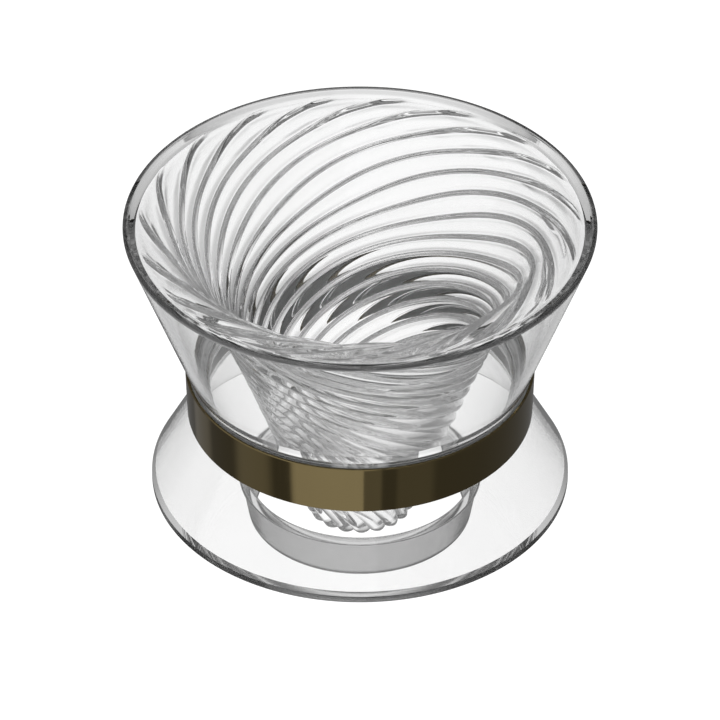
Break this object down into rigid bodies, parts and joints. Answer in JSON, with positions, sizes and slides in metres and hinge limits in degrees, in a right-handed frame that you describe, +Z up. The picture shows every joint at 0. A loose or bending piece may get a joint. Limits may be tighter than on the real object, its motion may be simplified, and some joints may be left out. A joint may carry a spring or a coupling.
{
  "type": "pour over dripper",
  "caption": "Clear double-walled pour over coffee dripper: spiral-fluted funnel in a conical outer wall, metal band at the waist, flared base with a flat plate and a locating collar.",
  "frame": {"origin": "centre of the collar's foot, on the plane the dripper stands on", "axes": "+Z up along the axis of the funnel, towards the rim; the piece is turned about Z, so X and Y are any horizontal pair"},
  "size_m": [0.12, 0.1199, 0.0917],
  "materials": {
    "funnel_glass": "clear polished borosilicate glass with spiral flutes",
    "wall_glass": "clear polished glass",
    "skirt_clear": "clear polished glass or clear plastic",
    "plate_clear": "clear polished glass or clear plastic",
    "sleeve_silicone": "matt grey silicone",
    "band_bronze": "dark bronze coated steel, satin"
  },
  "bodies": {
    "root": {"inner_funnel": "funnel_glass", "outer_wall": "wall_glass", "trim_band": "band_bronze", "joint_sleeve": "sleeve_silicone", "base_skirt": "skirt_clear", "base_plate": "plate_clear"}
  },
  "joints": []
}
